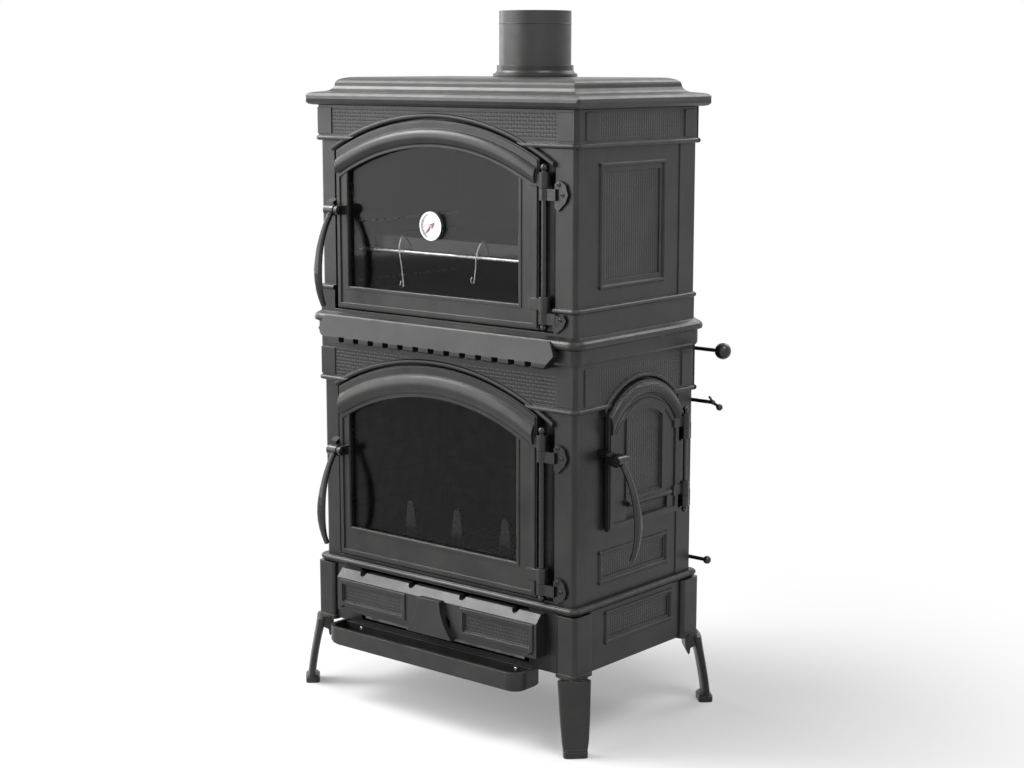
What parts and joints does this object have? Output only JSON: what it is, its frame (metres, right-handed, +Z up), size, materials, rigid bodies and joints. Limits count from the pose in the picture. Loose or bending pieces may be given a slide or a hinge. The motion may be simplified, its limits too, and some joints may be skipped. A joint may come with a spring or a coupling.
{
  "type": "wood-burning stove with oven",
  "caption": "Cast-iron wood stove with an oven over the firebox, arched glass doors, side loading door, ash drawer and lip, splayed legs, rear control rods and a top flue.",
  "frame": {"origin": "on the floor, midway between the feet", "axes": "+X to the right seen from the front, +Y to the back, +Z up; the doors face -Y"},
  "size_m": [0.815, 0.5215, 1.44],
  "materials": {
    "cast_iron": "matte graphite",
    "inner_iron": "matte dark",
    "flue_steel": "matte",
    "shield_steel": "matte",
    "oven_steel": "satin black",
    "bright_steel": "satin",
    "black_enamel": "gloss",
    "liner": "rough",
    "lever_black": "satin black",
    "door_glass": "polished",
    "rope": "woven rope",
    "needle": "satin",
    "pan_steel": "galvanised",
    "control_iron": "satin black"
  },
  "bodies": {
    "stove": {"top_slab": "cast_iron", "flue_collar": "cast_iron", "flue_pipe": "flue_steel", "upper_front": "cast_iron", "upper_left_side": "cast_iron", "upper_right_side": "cast_iron", "upper_back": "inner_iron", "cornice_plate": "cast_iron", "front_hood": "cast_iron", "lower_front": "cast_iron", "lower_left_side": "cast_iron", "lower_right_side": "cast_iron", "lower_back": "inner_iron", "rear_shield": "shield_steel", "rod_guides": "inner_iron", "base_frame": "cast_iron", "base_plate": "inner_iron", "ash_lip": "cast_iron", "leg_front_left": "cast_iron", "leg_front_right": "cast_iron", "leg_back_left": "cast_iron", "leg_back_right": "cast_iron", "oven_box": "oven_steel", "oven_runners": "bright_steel", "oven_rack": "bright_steel", "drip_tray": "black_enamel", "smoke_baffle": "inner_iron", "hearth_plate": "inner_iron", "fire_grate": "inner_iron", "liner_left": "liner", "liner_right": "liner", "liner_back": "liner", "log_guard": "lever_black", "hinge_rods": "lever_black", "hinge_brackets": "lever_black", "latch_keepers": "lever_black"},
    "oven_door_leaf": {"oven_door": "cast_iron", "oven_glass": "door_glass", "oven_gasket": "rope", "oven_glass_clips": "bright_steel", "oven_handle_pin": "lever_black", "thermometer_case": "bright_steel"},
    "oven_lever": {"oven_handle": "lever_black"},
    "needle": {"thermometer_needle": "needle"},
    "fire_door_leaf": {"fire_door": "cast_iron", "fire_glass": "door_glass", "fire_gasket": "rope", "fire_glass_clips": "bright_steel", "fire_handle_pin": "lever_black"},
    "fire_lever": {"fire_handle": "lever_black"},
    "side_door_leaf": {"side_door": "cast_iron", "side_gasket": "rope", "side_handle_pin": "lever_black"},
    "side_lever": {"side_handle": "lever_black"},
    "ash_drawer": {"drawer_front": "cast_iron", "ash_pan": "pan_steel"},
    "damper_slide": {"smoke_damper": "control_iron"},
    "secondary_slide": {"secondary_air": "control_iron"},
    "primary_slide": {"primary_air": "control_iron"}
  },
  "joints": [
    {"name": "oven_door_hinge", "type": "hinge", "parent": "stove", "child": "oven_door_leaf", "pos_m": [0.269, -0.2038, 0.99], "axis": [0, 0, 1], "range_deg": [0, 110]},
    {"name": "oven_lever_pivot", "type": "hinge", "parent": "oven_door_leaf", "child": "oven_lever", "pos_m": [-0.288, -0.2248, 1.033], "axis": [-1, 0, 0], "range_deg": [0, 70]},
    {"name": "needle_turn", "type": "hinge", "parent": "oven_door_leaf", "child": "needle", "pos_m": [-0.024, -0.2028, 1.012], "axis": [0, 1, 0], "range_deg": [0, 270]},
    {"name": "fire_door_hinge", "type": "hinge", "parent": "stove", "child": "fire_door_leaf", "pos_m": [0.265, -0.2038, 0.475], "axis": [0, 0, 1], "range_deg": [0, 110]},
    {"name": "fire_lever_pivot", "type": "hinge", "parent": "fire_door_leaf", "child": "fire_lever", "pos_m": [-0.29, -0.2248, 0.525], "axis": [-1, 0, 0], "range_deg": [0, 70]},
    {"name": "side_door_hinge", "type": "hinge", "parent": "stove", "child": "side_door_leaf", "pos_m": [0.3573, 0.148, 0.54], "axis": [0, 0, 1], "range_deg": [0, 110]},
    {"name": "side_lever_pivot", "type": "hinge", "parent": "side_door_leaf", "child": "side_lever", "pos_m": [0.3753, -0.106, 0.57], "axis": [0, -1, 0], "range_deg": [0, 70]},
    {"name": "ash_drawer_slide", "type": "slide", "parent": "stove", "child": "ash_drawer", "axis": [0, -1, 0], "range_m": [0, 0.26]},
    {"name": "smoke_damper_slide", "type": "slide", "parent": "stove", "child": "damper_slide", "axis": [1, 0, 0], "range_m": [0, 0.055]},
    {"name": "secondary_air_slide", "type": "slide", "parent": "stove", "child": "secondary_slide", "axis": [1, 0, 0], "range_m": [0, 0.025]},
    {"name": "primary_air_slide", "type": "slide", "parent": "stove", "child": "primary_slide", "axis": [1, 0, 0], "range_m": [0, 0.025]}
  ]
}
